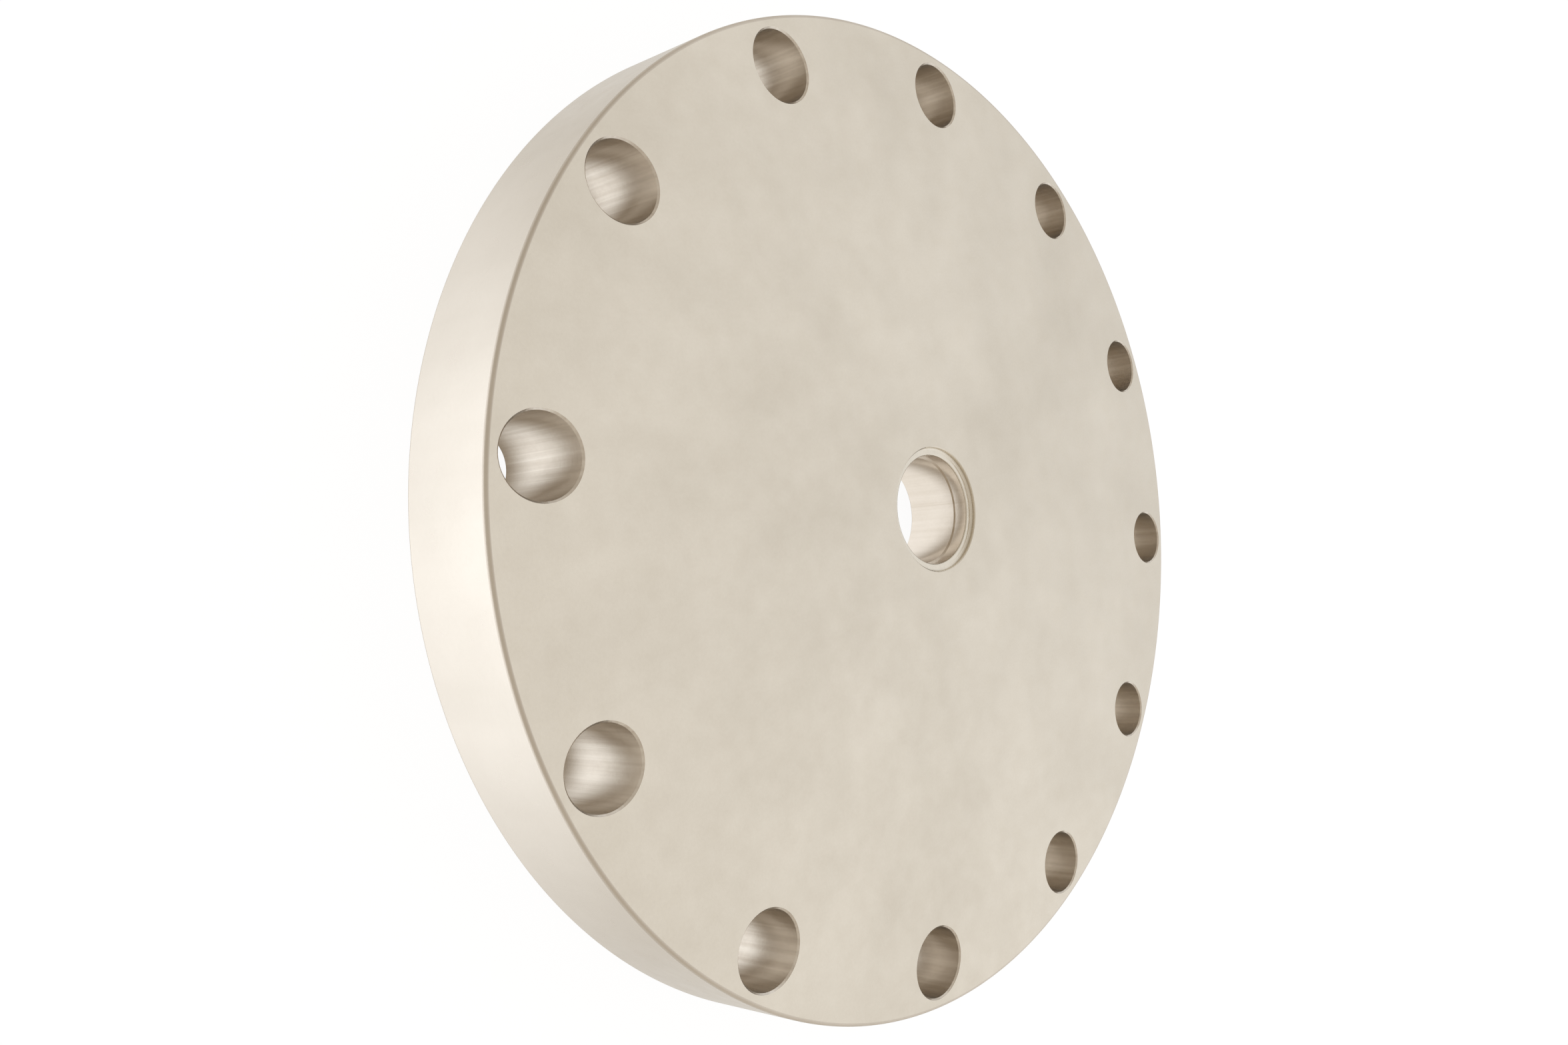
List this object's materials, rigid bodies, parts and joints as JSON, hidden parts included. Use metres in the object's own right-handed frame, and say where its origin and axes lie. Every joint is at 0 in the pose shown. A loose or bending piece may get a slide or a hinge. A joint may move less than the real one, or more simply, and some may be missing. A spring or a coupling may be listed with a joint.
{
  "type": "vacuum flange",
  "caption": "Knife-edge vacuum flange: a flat steel disc with a ring of bolt holes near the rim, a small tube bore at the centre and a metal-gasket seat on its sealing face.",
  "frame": {"origin": "centre of the sealing face, on the flange's turning axis", "axes": "+Z along the turning axis, from the sealing face to the plain back face; +X halfway between two bolt holes"},
  "size_m": [0.125, 0.125, 0.0127],
  "materials": {
    "stainless_steel": "fine satin turned finish, slightly warm in tone, with smoother turned walls in the bore and the bolt holes"
  },
  "bodies": {
    "root": {"flange": "stainless_steel"}
  },
  "joints": []
}
